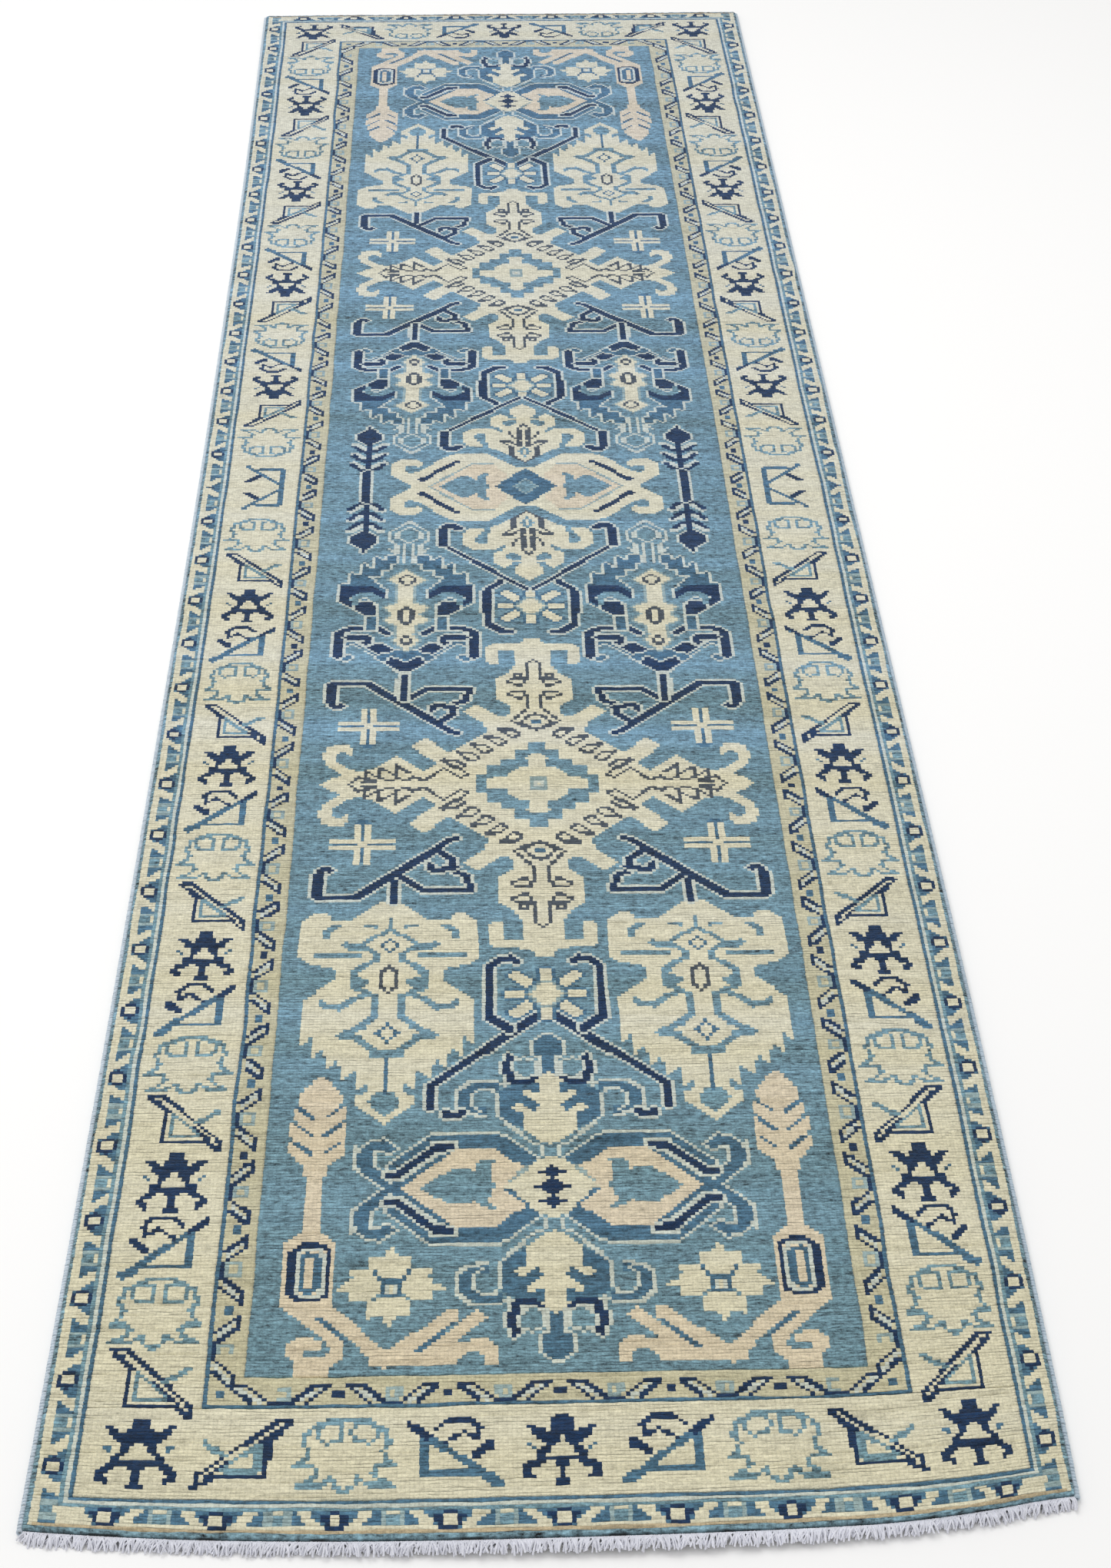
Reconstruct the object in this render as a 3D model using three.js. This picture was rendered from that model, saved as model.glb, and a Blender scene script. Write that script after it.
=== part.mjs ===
// A hand-knotted runner rug lying flat: a cotton ground weave, wool pile knotted on it in a field and three
// borders, a wrapped cord down each long side, and a flat-woven web with a cut fringe at each end.
// Millimetres, +Z up. X runs across the rug and Y along it. The origin is on the floor under the rug's centre.
import * as THREE from "three";

// Driving dimensions. Everything in the pile is counted in knots, which are square on plan in the borders.
const knot = 3.4;
const fieldRowPitch = 3.476; // the field's rows are beaten down a little less than they are wide
const fieldColumns = 139;
const fieldRows = 807;
const innerGuardKnots = 9;
const mainBorderKnots = 26;
const outerGuardKnots = 10;
const weaveThickness = 3;
const rugThickness = 9;
const waist = 8.5; // how far each long side is drawn in halfway along the rug
const stepLength = 130; // a drawn-in side is made of straight steps no longer than this
const gap = 0.3; // left between neighbours, so that no two solids touch

// The wrapped cord down each long side.
const overcastDiameter = 5.6;
const coreDiameter = 3.4;
const overcastSides = 12;
const coreSides = 10;

// The ends.
const webLength = 3;
const fringeLength = 8;
const fringeTipThickness = 1.4;

// Worked out from the dimensions above: half sizes of the rectangle that each zone of pile ends at.
const fieldHalf = halfSize(0);
const innerGuardHalf = halfSize(innerGuardKnots);
const mainBorderHalf = halfSize(innerGuardKnots + mainBorderKnots);
const outerGuardHalf = halfSize(innerGuardKnots + mainBorderKnots + outerGuardKnots);
const rugHalfLength = outerGuardHalf.y + webLength + fringeLength;

function halfSize(knotsOutsideField) {
  return {
    x: (fieldColumns / 2 + knotsOutsideField) * knot,
    y: (fieldRows / 2) * fieldRowPitch + knotsOutsideField * knot,
  };
}

const wool = {
  fieldBlue: wovenMaterial(0x5f8fb4, 0.95),
  guardCream: wovenMaterial(0xcdc6a4, 0.95),
  borderCream: wovenMaterial(0xddd3ac, 0.95),
  edgeBlue: wovenMaterial(0x86a9bf, 0.9),
};
const cotton = wovenMaterial(0xe4e2e8, 0.9);

function wovenMaterial(color, roughness) {
  return new THREE.MeshStandardMaterial({ color, roughness, metalness: 0 });
}

const rug = new THREE.Group();
rug.add(groundWeave(), fieldPile());
addPileFrame("inner_guard_pile", fieldHalf, innerGuardHalf, wool.guardCream);
addPileFrame("main_border_pile", innerGuardHalf, mainBorderHalf, wool.borderCream);
addPileFrame("outer_guard_pile", mainBorderHalf, outerGuardHalf, wool.guardCream);
for (const [side, name] of [[-1, "left"], [1, "right"]]) rug.add(selvedge(side, name));
for (const [side, name] of [[-1, "near"], [1, "far"]]) rug.add(rugEnd(side, name));

// The rug is slightly narrower halfway along than at its ends, and every long piece follows that curve.
function drawIn(geometry) {
  const position = geometry.attributes.position;
  for (let i = 0; i < position.count; i++) {
    const along = position.getY(i) / outerGuardHalf.y;
    const narrowing = (waist / outerGuardHalf.x) * Math.max(0, 1 - along * along);
    position.setX(i, position.getX(i) * (1 - narrowing));
  }
  geometry.computeVertexNormals();
  return geometry;
}

// A flat block between two corners on plan and two heights.
function slab(name, material, [x0, x1], [y0, y1], [z0, z1]) {
  const steps = Math.ceil((y1 - y0) / stepLength);
  const box = new THREE.BoxGeometry(x1 - x0, y1 - y0, z1 - z0, 1, steps, 1);
  box.translate((x0 + x1) / 2, (y0 + y1) / 2, (z0 + z1) / 2);
  return namedMesh(name, drawIn(box), material);
}

// Warps and wefts, woven into one cloth that carries the knots.
function groundWeave() {
  const { x, y } = outerGuardHalf;
  return slab("ground_weave", cotton, [-x, x], [-y, y], [0, weaveThickness]);
}

function pileBlock(name, material, xs, ys) {
  return slab(name, material, xs, ys, [weaveThickness + gap, rugThickness]);
}

function fieldPile() {
  const { x, y } = fieldHalf;
  return pileBlock("field_pile", wool.fieldBlue, [-x, x], [-y, y]);
}

// One border as four runs of pile: the end runs take the corners, and the side runs fit between them.
function addPileFrame(name, inside, outside, material) {
  const inner = { x: inside.x + gap, y: inside.y + gap };
  const sideReach = inner.y - gap;
  rug.add(
    pileBlock(`${name}_near`, material, [-outside.x, outside.x], [-outside.y, -inner.y]),
    pileBlock(`${name}_far`, material, [-outside.x, outside.x], [inner.y, outside.y]),
    pileBlock(`${name}_left`, material, [-outside.x, -inner.x], [-sideReach, sideReach]),
    pileBlock(`${name}_right`, material, [inner.x, outside.x], [-sideReach, sideReach]),
  );
}

// The long edge: a cord of bundled warps, and the wool that is sewn round it.
function selvedge(side, name) {
  const length = 2 * outerGuardHalf.y;
  const steps = Math.ceil(length / stepLength);
  const outerRadius = overcastDiameter / 2;
  const centreX = side * (outerGuardHalf.x + gap + outerRadius);
  const edge = new THREE.Group();

  const coreRadius = coreDiameter / 2;
  const core = new THREE.CylinderGeometry(coreRadius, coreRadius, length, coreSides, steps);
  core.translate(centreX, 0, outerRadius);
  edge.add(namedMesh(`selvedge_core_${name}`, drawIn(core), cotton));

  const section = new THREE.Shape().setFromPoints(polygon(outerRadius, overcastSides));
  section.holes.push(new THREE.Path().setFromPoints(polygon(coreRadius + gap, overcastSides)));
  const overcast = new THREE.ExtrudeGeometry(section, { depth: length, steps, bevelEnabled: false });
  overcast.rotateX(Math.PI / 2).translate(centreX, length / 2, outerRadius);
  edge.add(namedMesh(`selvedge_overcast_${name}`, drawIn(overcast), wool.edgeBlue));
  return edge;
}

// A regular polygon standing on a flat side, so that the cord rests on the floor along a face.
function polygon(radius, sides) {
  const corners = [];
  for (let i = 0; i < sides; i++) {
    const angle = (2 * Math.PI * (i + 0.5)) / sides;
    corners.push(new THREE.Vector2(Math.cos(angle), Math.sin(angle)).multiplyScalar(radius));
  }
  const drop = Math.cos(Math.PI / sides); // brings the flats, not the corners, out to the radius
  return corners.map((corner) => corner.divideScalar(drop));
}

// One end: the flat-woven web past the last row of knots, and the warps' cut ends beyond it.
function rugEnd(side, name) {
  const end = new THREE.Group();
  const webStart = outerGuardHalf.y + gap;
  const webEnd = outerGuardHalf.y + webLength;
  const ordered = (a, b) => (side < 0 ? [-b, -a] : [a, b]);
  const { x } = outerGuardHalf;
  end.add(slab(`end_web_${name}`, cotton, [-x, x], ordered(webStart, webEnd), [0, weaveThickness]));

  const fringeStart = webEnd + gap;
  const profile = new THREE.Shape([
    new THREE.Vector2(fringeStart, 0),
    new THREE.Vector2(rugHalfLength, 0),
    new THREE.Vector2(rugHalfLength, fringeTipThickness),
    new THREE.Vector2(fringeStart, weaveThickness),
  ]);
  const fringe = new THREE.ExtrudeGeometry(profile, { depth: 2 * x, bevelEnabled: false });
  fringe.rotateX(Math.PI / 2).rotateZ(Math.PI / 2).translate(-x, 0, 0);
  const mesh = namedMesh(`fringe_${name}`, fringe, cotton);
  if (side < 0) mesh.rotation.z = Math.PI;
  end.add(mesh);
  return end;
}

function namedMesh(name, geometry, material) {
  const mesh = new THREE.Mesh(geometry, material);
  mesh.name = name;
  return mesh;
}

export default rug;
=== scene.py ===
# A hand-knotted wool runner: the pile is woven knot by knot from a drawn cartoon, then edged with
# overcast cords and cut fringes. Metres, +Z up, X across the rug and Y along it.
import math
import bpy
import numpy as np
from mathutils import Euler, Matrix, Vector


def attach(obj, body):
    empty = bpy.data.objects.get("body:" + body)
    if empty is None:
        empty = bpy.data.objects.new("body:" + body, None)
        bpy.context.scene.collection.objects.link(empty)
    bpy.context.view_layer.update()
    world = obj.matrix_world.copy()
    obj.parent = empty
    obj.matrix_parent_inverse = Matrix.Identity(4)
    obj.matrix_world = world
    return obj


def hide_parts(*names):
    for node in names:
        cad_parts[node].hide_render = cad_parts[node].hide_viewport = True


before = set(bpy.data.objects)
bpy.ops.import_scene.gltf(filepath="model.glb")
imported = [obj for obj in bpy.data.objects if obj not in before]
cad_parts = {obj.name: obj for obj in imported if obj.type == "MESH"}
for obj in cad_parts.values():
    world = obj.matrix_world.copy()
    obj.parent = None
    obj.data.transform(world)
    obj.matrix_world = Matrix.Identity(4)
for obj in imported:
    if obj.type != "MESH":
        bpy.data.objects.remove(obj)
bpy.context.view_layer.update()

millimetre = 0.001
random = np.random.default_rng(41)

# The camera stands before the near end, at a standing person's eye height.
cameraPlace = dict(at=(-0.0460, -2.8076, 1.5799), turn=(54.151, -0.064, -1.722), lens=61.47)
cameraData = bpy.data.cameras.new("camera")
cameraData.lens = cameraPlace["lens"]
camera = bpy.data.objects.new("camera", cameraData)
camera.location = cameraPlace["at"]
camera.rotation_euler = Euler([math.radians(angle) for angle in cameraPlace["turn"]])
bpy.context.scene.collection.objects.link(camera)
bpy.context.scene.camera = camera

# The weaver's cartoon: one square of the drawing is one knot. Columns count from the rug's centre
# line and rows from its middle, negative to the left and towards the near end.
field = dict(halfColumns=69, halfRows=403)
guard = dict(inner=9, main=26, outer=10)
bordersWidth = guard["inner"] + guard["main"] + guard["outer"]
halfColumns = field["halfColumns"] + bordersWidth
halfRows = field["halfRows"] + bordersWidth
yarns = "sky denim navy slate cream sand white pale teal camel straw edge".split()


class Cartoon:
    def __init__(self, ground):
        near, left = -halfRows, -halfColumns
        self.row, self.column = np.mgrid[near:1, left:4].astype(float)
        self.knots = np.full(self.row.shape, yarns.index(ground), dtype=np.uint8)
        self.turnTo()

    # Where the next motifs go: their origin, which way their own axes point, and any lines that
    # they are repeated across as mirror images.
    def turnTo(self, origin=(0, 0), across=(1, 0), along=(0, 1), foldColumn=None, foldRow=None):
        self.origin = np.array(origin, float)
        self.axes = np.array([across, along], float)
        self.foldColumn, self.foldRow = foldColumn, foldRow

    def copies(self, points):
        placed = [self.origin + np.array(points, float) @ self.axes]
        if self.foldRow is not None:
            placed += [each * (1, -1) + (0, 2 * self.foldRow) for each in placed]
        if self.foldColumn is not None:
            placed += [each * (-1, 1) + (2 * self.foldColumn, 0) for each in placed]
        return placed

    def lay(self, yarn, mask, edge):
        if edge is not None:
            grown = mask.copy()
            grown[1:] |= mask[:-1]
            grown[:-1] |= mask[1:]
            grown[:, 1:] |= mask[:, :-1]
            grown[:, :-1] |= mask[:, 1:]
            self.knots[grown & ~mask] = yarns.index(edge)
        self.knots[mask] = yarns.index(yarn)

    # A filled outline. An edge yarn goes round it one knot wide, and looks dotted on slopes.
    def patch(self, yarn, points, edge=None):
        filled = np.zeros(self.knots.shape, bool)
        for corners in self.copies(points):
            mask = np.zeros(self.knots.shape, bool)
            for (ax, ay), (bx, by) in zip(corners, np.roll(corners, -1, axis=0)):
                if ay != by:
                    between = (self.row > min(ay, by)) & (self.row <= max(ay, by))
                    mask ^= between & (self.column < ax + (self.row - ay) * (bx - ax) / (by - ay))
            filled |= mask
        self.lay(yarn, filled, edge)

    def line(self, yarn, points, width=1, edge=None):
        drawn = np.zeros(self.knots.shape, bool)
        for corners in self.copies(points):
            for start, end in zip(corners[:-1], corners[1:]):
                run = end - start
                fromX, fromY = self.column - start[0], self.row - start[1]
                along = ((fromX * run[0] + fromY * run[1]) / (run @ run)).clip(0, 1)
                drawn |= np.hypot(fromX - along * run[0], fromY - along * run[1]) <= width / 2
        self.lay(yarn, drawn, edge)


rug = Cartoon("sky")

# The corner: a scroll, its two arms and the V that they make.
rug.patch("sand", [(-60, -404), (-59, -399), (-51, -399), (-51, -404)])
rug.line("sand", [
    (-62, -381), (-51, -392.5), (-50, -394.5), (-50, -397), (-52, -399), (-57.5, -399), (-59.5, -397),
    (-59.5, -394.5), (-57.5, -393), (-55, -394),
], 3.4)
rug.line("sand", [(-54, -382), (-39.5, -398)], 4)
rug.line("denim", [(-56, -384.5), (-47.5, -393.5)], 1.2)
rug.line("sand", [(-39, -399), (-24, -385.5)], 4)
rug.line("sand", [(-29, -397), (-18, -386)], 4.2)
rug.patch("sand", [
    (-42, -400.5), (-42, -397), (-38, -396.5), (-30, -396), (-22, -393.5), (-16, -392.5),
    (-13.5, -394.5), (-13, -397), (-14, -400.5), (-16, -400.5), (-16.5, -398), (-18, -396.5),
    (-20, -397), (-22, -399), (-22, -400.5),
])
rug.line("denim", [(-31.5, -396), (-23.5, -387.5)], 1.2)
# The ringed box, and the wheat head on its stem.
rug.patch("sand", [
    (-59.5, -335), (-59.5, -358), (-63.5, -361.5), (-63.5, -381), (-59, -386), (-54, -386),
    (-51.5, -383), (-51.5, -361.5), (-55, -358), (-55, -335),
])
rug.line("navy", [
    (-59, -362.5), (-55.5, -362.5), (-53, -364.5), (-53, -378.5), (-55.5, -380), (-59, -380),
    (-61.5, -378.5), (-61.5, -364.5), (-59, -362.5),
], 1.2)
rug.line("white", [
    (-59, -364), (-55.5, -364), (-54.5, -365.5), (-54.5, -378), (-55.5, -379), (-59, -379), (-60, -378),
    (-60, -365.5), (-59, -364),
])
rug.line("denim", [
    (-58, -365), (-55.5, -367), (-55.5, -376.5), (-57.5, -378), (-59, -376.5), (-59, -367), (-58, -365),
])
rug.patch("sand", [
    (-57.5, -302.5), (-52, -310), (-51.5, -313), (-53.5, -316), (-51, -314.5), (-50.5, -319),
    (-53, -322.5), (-50.5, -320.5), (-50, -326), (-53, -329.5), (-50.5, -327), (-50, -331), (-54, -336),
    (-54.5, -340), (-60, -340), (-60.5, -336), (-64.5, -331), (-64, -327), (-62, -329), (-64.5, -325),
    (-64, -320.5), (-62, -322.5), (-63.5, -318), (-63, -314.5), (-61.5, -316), (-62.5, -313),
    (-62.5, -310),
])
for row in (-315, -321.5, -328):
    rug.line("denim", [(-62.5, row), (-59, row - 3.5)])
    rug.line("denim", [(-52, row), (-55.5, row - 3.5)])
# The four-petalled flower.
rug.turnTo(foldColumn=-38)
rug.patch("cream", [
    (-38, -363.5), (-40, -366.5), (-43, -366), (-43, -370.5), (-41.5, -371), (-40.5, -374.5),
    (-38, -374.5),
])
rug.patch("cream", [
    (-43, -370.5), (-48, -370.5), (-46.5, -373), (-48, -375), (-50.5, -377), (-47.5, -378), (-48, -381),
    (-43.5, -380.5), (-40.5, -378.5), (-40.5, -375),
])
rug.patch("cream", [
    (-43, -381), (-43, -386.5), (-41.5, -385), (-40, -385.5), (-38, -388.5), (-38, -379.5),
    (-40.5, -379.5),
])
rug.line("denim", [(-42.5, -370.5), (-40.5, -374.5), (-38, -374.5)])
rug.line("denim", [(-40, -374.5), (-40, -379), (-38, -379)])
rug.line("white", [(-39, -376), (-39, -378)])
rug.line("cream", [(-38, -376), (-38, -377.5)], 1.6)

# The end crab, with all that is mirrored about its middle row.
rug.turnTo(foldRow=-344)
# The drop under its palmette, on its neck.
rug.patch("denim", [(-3.6, -391.5), (-3.6, -396.5), (0, -400), (4, -397), (4, -391.5)], "white")
rug.line("white", [(-2, -383), (-2, -390.5)])
rug.patch("denim", [(-1.4, -382), (-1.4, -392.5), (4, -392.5), (4, -382)])
# The curled hook at each side of the neck.
rug.line("navy", [(-9.6, -391), (-10.4, -387), (-9.6, -382.4), (-6, -380.8), (-3.5, -383)], 2.2, "white")
rug.line("navy", [(-9.6, -391), (-10.4, -387), (-9.6, -382.4), (-6, -380.8)], 2.2)
rug.patch("teal", [(-5.9, -383), (-8, -386), (-8, -389), (-6, -390.4), (-3, -389), (-3, -386)], "white")
# The dark body of the palmette, and the larger hook at its side.
rug.patch("denim", [(-1.8, -359.5), (-12.4, -369), (-12.4, -378), (-9, -380.5), (4, -382), (4, -359.5)])
rug.line("denim", [
    (-13.5, -380), (-17.5, -380.4), (-20.8, -378), (-21, -373.5), (-19, -371), (-16.5, -370.8),
], 2.6)
rug.line("white", [
    (-16, -369.4), (-20, -369.6), (-23, -372.5), (-23, -378.3), (-19.6, -381.8), (-13.8, -382),
    (-11, -380.5),
])
bodyEdge = [
    (-1.8, -355), (-1.8, -358), (-5, -360), (-13, -369), (-13, -377), (-14.5, -379), (-17, -379.2),
]
rug.line("white", bodyEdge + [(-18.7, -377.4), (-19, -373), (-17, -371)])
rug.patch("cream", [
    (0, -358.5), (-3.5, -360.5), (-6, -364), (-6, -369.5), (-10, -372.5), (-7.5, -373.5), (-3.5, -370.5),
    (-2.5, -373.5), (-6.5, -376.5), (-7, -379.5), (-2, -376.5), (-2, -379), (-3, -382), (-1.5, -384.5),
    (0, -385.5), (4, -385.5), (4, -358.5),
])
# The scroll arms, and the denim band round the crab.
rug.patch("teal", [(-39.5, -351.5), (-43, -352), (-45, -355), (-43, -358.5), (-40, -357), (-37, -354.5)])
rug.line("denim", [
    (-34, -340), (-38.5, -344.5), (-45.5, -351.5), (-45.5, -356), (-44, -358.5), (-41, -359.5),
    (-39.5, -358),
], 3, "white")
rug.line("white", [(-47.5, -350.5), (-48, -358.5)])
rug.line("denim", [(-38.5, -351.5), (-28, -361.5), (-13.5, -361.5), (-4, -353)], 2.6, "white")
rug.line("denim", [(-38, -344), (-23.5, -358.5), (-14, -359.5), (-4.5, -350.5)], 3.6)
rug.line("white", [(-39, -346.5), (-36.5, -347), (-24.5, -359), (-23, -360), (-28.5, -360)])
rug.line("navy", [(-39.5, -348.5), (-37.5, -348.5), (-28, -358), (-24.5, -358.5)], 2.8, "white")
# The crab itself.
rug.patch("sand", [
    (-36, -344), (-23, -357), (-22, -357.5), (-14.5, -357.5), (-6, -350.5), (0, -354), (4, -344),
])
rug.patch("cream", [(-11.5, -344), (-6, -350), (-4, -352.5), (0, -354.5), (4, -352), (4, -344)])
rug.patch("navy", [(0, -346.5), (-3, -349), (0, -351.5), (3, -349)])
rug.patch("navy", [(0, -341), (-4, -344), (0, -347), (4, -344)])
rug.turnTo()
rug.line("pale", [(-6, -337.5), (-10.5, -342.5)])
rug.line("denim", [(-10.5, -345), (-6, -350)])
rug.patch("teal", [
    (-31.5, -344), (-26.5, -339.5), (-24, -337.5), (-20.5, -337), (-18.5, -339), (-18.5, -336.5),
    (-16.5, -334.5), (-13.5, -334), (-14.5, -337), (-14.5, -341), (-13.5, -343.5), (-14.5, -346),
    (-15.5, -348.5), (-13, -351.5), (-17.5, -350.5), (-18.5, -348), (-21, -350), (-24.5, -350),
    (-27.5, -347.5),
])

# The great cream palmettes.
rug.turnTo(foldColumn=-41)
rug.patch("cream", [
    (-41, -322), (-48.5, -314), (-49, -311.5), (-46, -309.5), (-45, -305.5), (-48, -308.5),
    (-49, -301.5), (-52, -304.5), (-53.5, -297), (-56, -300.5), (-57.5, -292.5), (-60, -296.5),
    (-61, -288.5), (-63.5, -292.5), (-63.5, -274.5), (-60.5, -270.5), (-55.5, -265.5), (-55.5, -262),
    (-57, -260.5), (-62.5, -259.5), (-65, -256.5), (-65, -241), (-62, -238), (-58.5, -238),
    (-56.5, -241), (-51.5, -240.5), (-46.5, -235.5), (-43.5, -232.5), (-41, -231.5),
])
rug.patch("teal", [(-41, -318.5), (-44, -315.5), (-45, -313), (-43.5, -310), (-41, -309.5)])
rug.line("denim", [(-41, -310), (-41, -296)])
rug.patch("sky", [(-46, -293), (-45, -296.5), (-41, -296.5), (-41, -293.5)])
rug.line("sky", [(-53, -288), (-49, -288.5), (-44.5, -294), (-41, -294.5)], 2.2)
rug.line("sky", [(-53, -288), (-48, -284.5), (-44.5, -280.5), (-44.5, -272)], 2.2)
rug.line("sky", [
    (-44.5, -273), (-46.5, -271), (-49.5, -273), (-54, -277), (-58, -276.5), (-59, -274.5),
], 2)
rug.patch("cream", [(-41, -281), (-45, -285.5), (-48.5, -287), (-44, -290.5), (-41, -293)])
rug.line("denim", [(-41, -283.5), (-43.5, -287), (-41, -290.5)])
rug.line("slate", [(-41, -260.5), (-43, -262.5), (-43, -268.5), (-41, -271)])
rug.patch("sky", [
    (-50.5, -261), (-46, -259.5), (-49, -263), (-50, -263.5), (-48, -265), (-46, -265.5), (-46, -267),
    (-49.5, -270.5), (-50.5, -268),
])
rug.line("sky", [
    (-46.5, -271), (-50.5, -269), (-50.5, -262), (-48, -259.5), (-44.5, -258), (-44.5, -254.5),
    (-47, -252.5), (-52.5, -252.5), (-53.5, -250.5), (-50.5, -251), (-47.5, -250.5), (-45, -247.5),
    (-41, -245),
], 1.4)
rug.line("denim", [(-41, -249), (-43.5, -251.5), (-41, -254)])
rug.line("sky", [(-60.5, -255.5), (-49.5, -255.5)], 1.8)
rug.line("sky", [(-48, -243), (-44.5, -243.5)], 1.4)
rug.line("sky", [(-41, -240.5), (-41, -244)])
rug.patch("sky", [
    (-59, -248.5), (-59.5, -244.5), (-57, -242.5), (-54, -242.5), (-57, -245.5), (-58, -248.5),
])


# An eight-petalled star round a middle row.
def star(middle):
    rug.turnTo(foldRow=middle)
    rug.line("cream", [(-5, middle - 4.5), (-7.5, middle - 7.5)], 3.6, "denim")
    petal = [(-1.6, middle - 5.6), (-1.6, middle - 10.6), (1.6, middle - 10.6), (1.6, middle - 5.6)]
    rug.patch("cream", petal, "denim")
    petal = [(-5.4, middle + 1.4), (-10.4, middle + 1.4), (-10.4, middle - 1.6), (-5.4, middle - 1.6)]
    rug.patch("cream", petal, "denim")
    eye = [(-4, middle), (-2, middle - 3.5), (0, middle - 4.5), (4, middle - 4.5), (4, middle)]
    rug.patch("cream", eye, "pale")


# The long diagonal with its foot, and the bracket round the eight-petalled star.
rug.turnTo(foldRow=-272)
rug.patch("sky", [(4, -283.5), (-5, -283.5), (-9, -283), (-12, -280), (-12, -264), (-8, -260), (4, -260)])
rug.turnTo()
rug.line("navy", [(-29.5, -315.5), (-29.5, -307.5), (-8.5, -287), (-2.5, -281)], 2.4, "white")
rug.patch("navy", [
    (-27, -316), (-23.5, -317.5), (-20.5, -316.5), (-20.5, -318.5), (-22.5, -319.5), (-26, -319.5),
], "white")
rug.line("navy", [
    (-7.5, -258.5), (-9, -257), (-11.5, -257.5), (-14.5, -261), (-14.5, -281), (-9, -286.5),
], 2.2, "white")
star(-272)

# The latch-hooked diamond, with all that is mirrored about its middle row.
rug.turnTo(foldRow=-177)
rug.patch("cream", [
    (4, -257), (-2, -256.5), (-3.5, -254), (-6, -253), (-12, -253), (-14, -251), (-14.5, -242.5),
    (-12.5, -241), (-10.5, -241.5), (-10.5, -244), (-11, -248.5), (-9, -249.5), (-5.5, -249), (-5, -242),
    (-7, -238), (-11, -233.5), (-11.5, -227), (-11, -221.5), (-8.5, -219.5), (-7, -216.5), (-7, -214),
    (-9.5, -212), (-12, -213.5), (-17, -219), (-21, -215), (-20.5, -213.5), (-15.5, -209.5),
    (-14.5, -203.5), (-20.5, -197.5), (-26, -193), (-32, -201), (-36.5, -196.5), (-33.5, -192),
    (-29, -187.5), (-32.5, -183.5), (-41, -192), (-46.5, -186), (-49, -184), (-53, -183.5),
    (-57, -186.5), (-59, -189), (-59, -192), (-57.5, -193.5), (-55, -191.5), (-54.5, -195),
    (-56, -197.5), (-58.5, -198), (-62, -196.5), (-63.5, -192), (-62.5, -187), (-57, -181.5),
    (-60.5, -180.5), (-63.5, -177), (4, -177),
])
# The stepped blue cross in its middle, with a cream flower.
rug.patch("sky", [
    (-17.5, -177), (-17.5, -181.5), (-14, -182), (-14, -186), (-10.5, -186.5), (-10.5, -189.5),
    (-6.5, -190), (-6.5, -194), (-2.5, -194.5), (-2.5, -198.5), (3, -198.5), (3, -177),
])
rug.patch("cream", [
    (-14.5, -177), (-14, -179.5), (-12, -180), (-8.5, -180), (-8, -182.5), (-5.5, -185.5), (-2.5, -186),
    (-3, -190), (-1.5, -192), (3, -192), (3, -177),
])
rug.line("pale", [(2, -179.5), (-2, -179.5), (-2, -175)])
rug.line("white", [(1, -178), (-1, -178), (-1, -177)])
# A hexagon at each end of the diamond, and the slot with its hooks beyond it.
rug.line("slate", [(-2, -223.5), (-2, -217), (-7, -210), (-2, -206)])
rug.line("slate", [(0, -205.5), (-2, -206), (-4, -209.5), (-2, -213), (0, -213.5)])
rug.line("denim", [(-1, -209.5), (1, -209.5)], 1.6)
rug.line("slate", [(0, -244), (-2, -242), (-2, -233)])
for row in (-221.5, -228.5):
    rug.line("slate", [
        (-2.7, row - 3.5), (-4.3, row - 0.5), (-8, row - 3), (-7.5, row - 4.3), (-3, row - 4.3),
    ])
rug.line("slate", [(-2.5, -234), (-6, -233.5), (-6, -236), (-4, -235.5)])
# Combs along the diamond's sides, and the feathers along its arms.
for step in range(5):
    column, row = -7.5 - 4.1 * step, -205.5 + 4.1 * step
    tooth = [(column + 0.5, row + 4.5), (column + 3.2, row + 3), (column + 0.5, row)]
    rug.line("slate", [(column - 3.7, row - 0.3), *tooth])
    rug.line("slate", [(column - 3.7, row - 0.3), (column - 0.5, row + 0.2)], 1.4)
for step in range(3):
    column = -37.5 - 4.6 * step
    tips = [(column, -183 + step), (column - 3.5, -186.5 + 1.4 * step)]
    rug.line("slate", [*tips, (column - 3.5, -180), (column - 0.5, -178.7), (column + 1.5, -180.5)])
rug.line("slate", [
    (-36, -181), (-33.5, -179), (-32, -179.5), (-27, -185), (-22, -180), (-19.5, -181.5), (-23.5, -186),
])
rug.line("slate", [(-49, -178.5), (-52, -180.5), (-55, -177)])
rug.line("slate", [(-47, -178), (-51, -178)])
# Upright crosses out in the field.
rug.turnTo(foldRow=-176.5)
column, row = -50, -206
rug.line("denim", [(column, row + 6), (column, row + 9)], 5.4)
rug.line("denim", [(column - 8, row), (column + 8, row)], 1.2)
rug.line("denim", [(column, row - 8), (column, row + 8)], 1.2)
for side in (-1, 1):
    for reach in ((-8.4, -2.6), (2.6, 8.4)):
        near, far = reach
        rug.line("cream", [(column + 1.5 * side, row + near), (column + 1.5 * side, row + far)], 1.6)
        rug.line("cream", [(column + near, row + 1.5 * side), (column + far, row + 1.5 * side)], 1.6)
rug.patch("cream", [
    (column - 1.4, row - 1.4), (column - 1.4, row + 1.4), (column + 1.4, row + 1.4),
    (column + 1.4, row - 1.4),
])
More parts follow.
